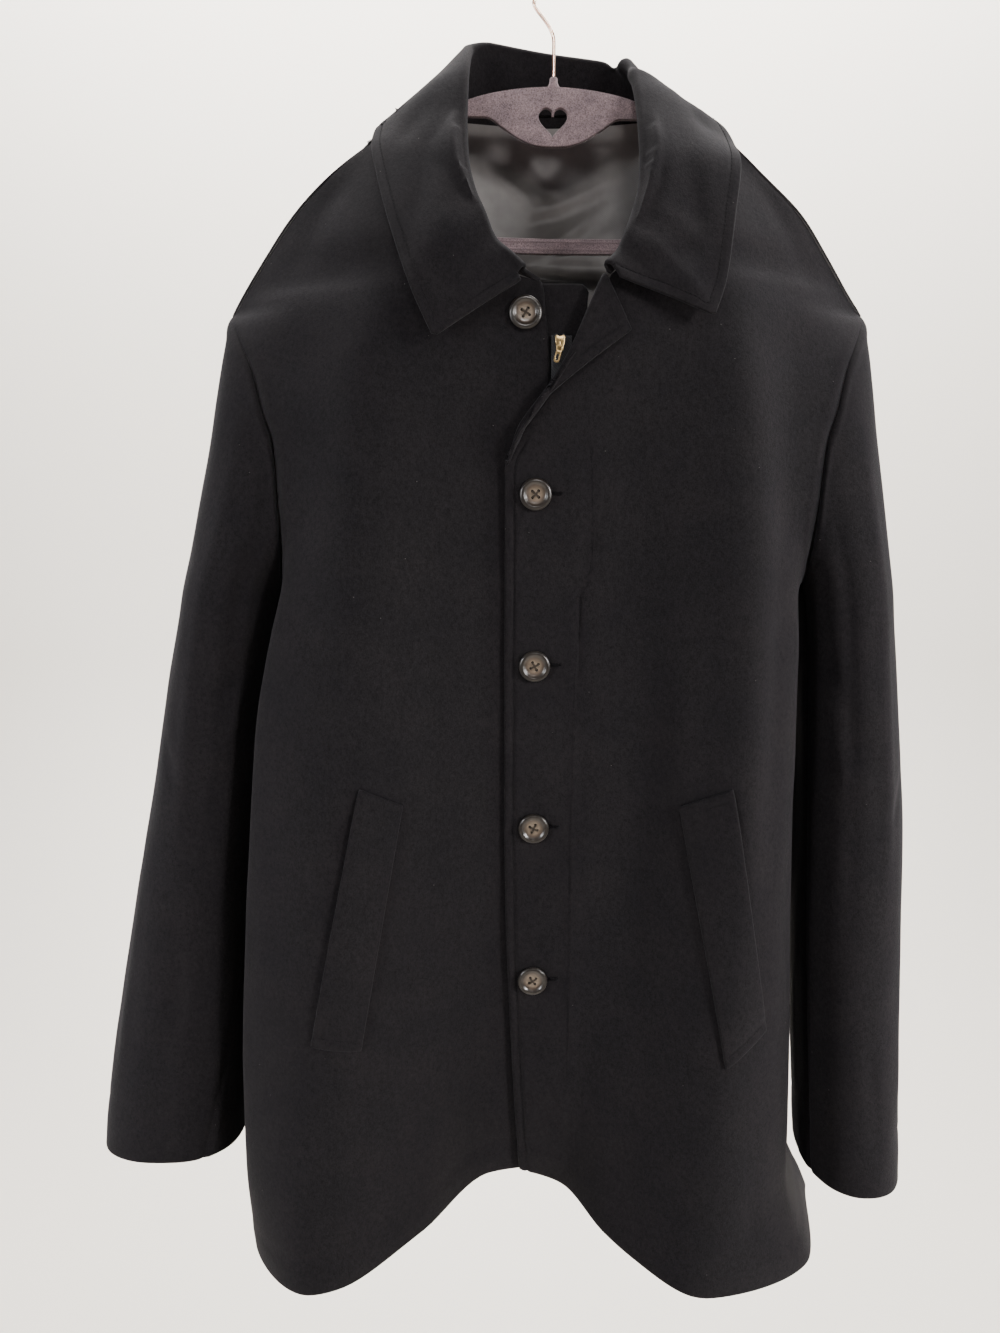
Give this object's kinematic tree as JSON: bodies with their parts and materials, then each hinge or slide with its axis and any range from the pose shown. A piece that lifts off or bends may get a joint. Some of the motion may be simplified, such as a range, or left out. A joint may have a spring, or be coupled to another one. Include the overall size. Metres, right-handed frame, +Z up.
{
  "type": "car coat on hanger",
  "caption": "Man's single-breasted car coat in near-black felted wool with a turned-down collar, an inner zip and slanted welt pockets, on a slim velvet hanger with a wire hook.",
  "frame": {"origin": "inner top of the hook's crook, where the rail carries it", "axes": "+Z up along the hanging coat, -Y the way the coat's front faces, +X towards the wearer's left"},
  "size_m": [0.6304, 0.2027, 0.9779],
  "materials": {
    "felted_wool": "matt felted wool with a short nap",
    "lining_satin": "dark grey satin",
    "zip_twill": "matt woven tape",
    "dark_horn": "polished dark horn with a paler dished middle",
    "antique_brass": "antique brass",
    "mauve_velvet": "flocked mauve-grey velvet over a plastic core",
    "rose_gold": "polished rose-gold plated wire"
  },
  "bodies": {
    "coat": {"back": "felted_wool", "back_lining": "lining_satin", "button_1": "dark_horn", "button_2": "dark_horn", "button_3": "dark_horn", "button_4": "dark_horn", "button_5": "dark_horn", "collar_fall": "felted_wool", "collar_stand": "felted_wool", "facing_left": "felted_wool", "front_left": "felted_wool", "front_right": "felted_wool", "hanger_frame": "mauve_velvet", "hanger_nub": "mauve_velvet", "hook_wire": "rose_gold", "pocket_welt_left": "felted_wool", "pocket_welt_right": "felted_wool", "sleeve_left_top": "felted_wool", "sleeve_left_under": "felted_wool", "sleeve_right_top": "felted_wool", "sleeve_right_under": "felted_wool", "zip_guard": "felted_wool", "zip_slider": "antique_brass", "zip_tape_left": "zip_twill", "zip_tape_right": "zip_twill"},
    "zip_pull": {"zip_pull_tab": "antique_brass"}
  },
  "joints": [
    {"name": "zip_pull_hinge", "type": "hinge", "parent": "coat", "child": "zip_pull", "pos_m": [0.0022, -0.07358, -0.2893], "axis": [-0.9703, 0, 0.2419], "range_deg": [0, 100]}
  ]
}
